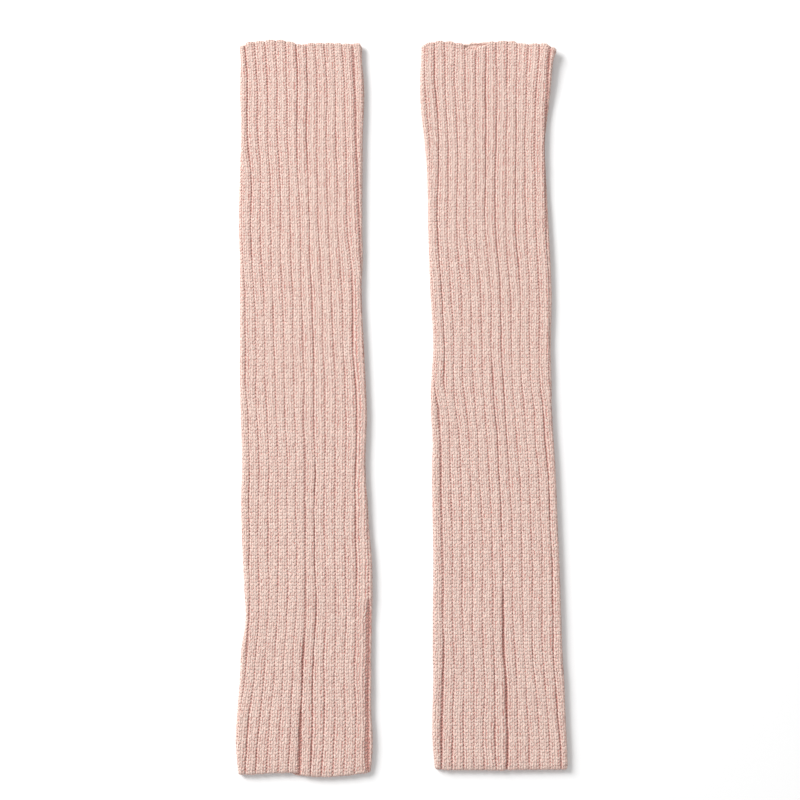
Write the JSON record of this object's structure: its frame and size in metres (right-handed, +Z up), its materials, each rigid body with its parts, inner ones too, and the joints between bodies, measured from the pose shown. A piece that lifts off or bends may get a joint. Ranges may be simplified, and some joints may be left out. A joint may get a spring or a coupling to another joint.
{
  "type": "pair of ribbed knit leg warmers",
  "caption": "Long tubes of chunky ribbed knit, open at both ends, laid flat side by side, with a rolled bound-off top rim and a plain hem.",
  "frame": {"origin": "on the surface that the pair lies on, under the middle of the box round both tubes", "axes": "+X across the pair, +Y along the ribs from the hems to the top rims, +Z up from the surface"},
  "size_m": [0.2774, 0.6187, 0.0094],
  "materials": {
    "pink_rib_knit": "matt, slightly fuzzy pale pink yarn"
  },
  "bodies": {
    "root": {"leg_warmer_left": "pink_rib_knit", "leg_warmer_right": "pink_rib_knit"}
  },
  "joints": []
}
